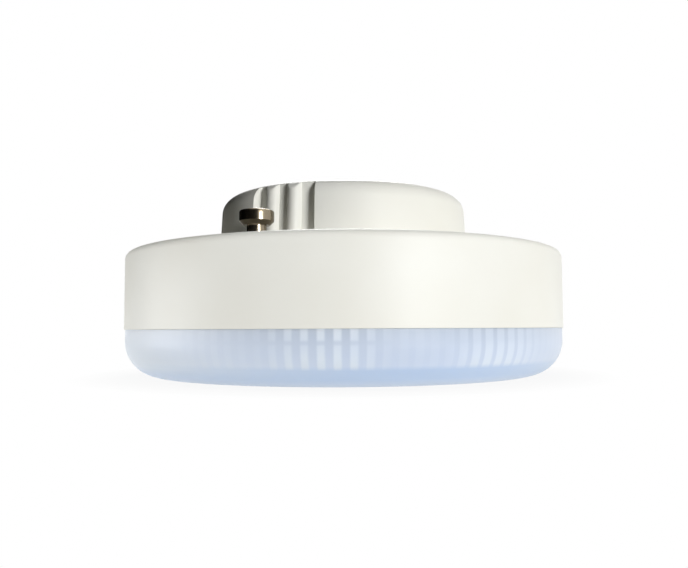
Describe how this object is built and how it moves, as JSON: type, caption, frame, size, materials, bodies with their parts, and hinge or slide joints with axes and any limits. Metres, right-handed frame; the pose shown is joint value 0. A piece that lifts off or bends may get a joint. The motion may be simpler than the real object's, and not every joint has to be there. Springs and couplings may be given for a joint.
{
  "type": "led disc lamp",
  "caption": "Flat round LED lamp with a frosted ribbed diffuser, a white moulded housing and a ribbed boss with mushroom-headed pins for a twist-lock holder.",
  "frame": {"origin": "centre of the diffuser's outer face, which the lamp rests on", "axes": "+Z is the lamp's axis, from the diffuser towards the boss; +X runs through the two contact pins"},
  "size_m": [0.075, 0.075, 0.0305],
  "materials": {
    "white_moulded_plastic": "fine satin moulded surface, slightly cream",
    "frosted_polycarbonate": "frosted translucent, smooth outside, bluish",
    "nickel_plated_brass": "turned and nickel plated, warm silver",
    "tag_brass": "bare stamped brass",
    "pressed_aluminium": "plain pressed sheet",
    "silicone_pad": "soft matt grey",
    "white_solder_mask": "aluminium-cored board under white solder mask",
    "led_frame_plastic": "white moulded frame",
    "phosphor_gel": "yellow silicone gel",
    "zinc_plated_steel": "bright zinc plating",
    "insulating_film": "thin translucent film",
    "glass_epoxy_board": "green solder mask on glass epoxy",
    "capacitor_sleeve": "shrunk sleeve on an aluminium can",
    "film_capacitor_case": "dipped epoxy case",
    "ferrite": "sintered dark grey",
    "enamelled_copper": "enamelled copper wire",
    "resistor_lacquer": "grey-green lacquer",
    "black_epoxy": "moulded epoxy package",
    "brown_insulation": "extruded wire insulation",
    "blue_insulation": "extruded wire insulation",
    "black_insulation": "extruded wire insulation",
    "red_insulation": "extruded wire insulation"
  },
  "bodies": {
    "root": {"housing": "white_moulded_plastic", "diffuser": "frosted_polycarbonate", "contact_pin_left": "nickel_plated_brass", "contact_pin_right": "nickel_plated_brass", "solder_tag_left": "tag_brass", "solder_tag_right": "tag_brass", "heat_sink_cup": "pressed_aluminium", "thermal_pad": "silicone_pad", "led_board": "white_solder_mask", "led_packages": "led_frame_plastic", "led_phosphor": "phosphor_gel", "board_screws": "zinc_plated_steel", "insulating_sheet": "insulating_film", "driver_board": "glass_epoxy_board", "input_capacitor": "capacitor_sleeve", "output_capacitor": "capacitor_sleeve", "film_capacitor": "film_capacitor_case", "inductor_core": "ferrite", "inductor_winding": "enamelled_copper", "fuse_resistor": "resistor_lacquer", "bridge_rectifier": "black_epoxy", "fast_diode": "black_epoxy", "driver_chip": "black_epoxy", "chip_resistors": "black_epoxy", "live_wire": "brown_insulation", "neutral_wire": "blue_insulation", "led_wire_negative": "black_insulation", "led_wire_positive": "red_insulation"}
  },
  "joints": []
}
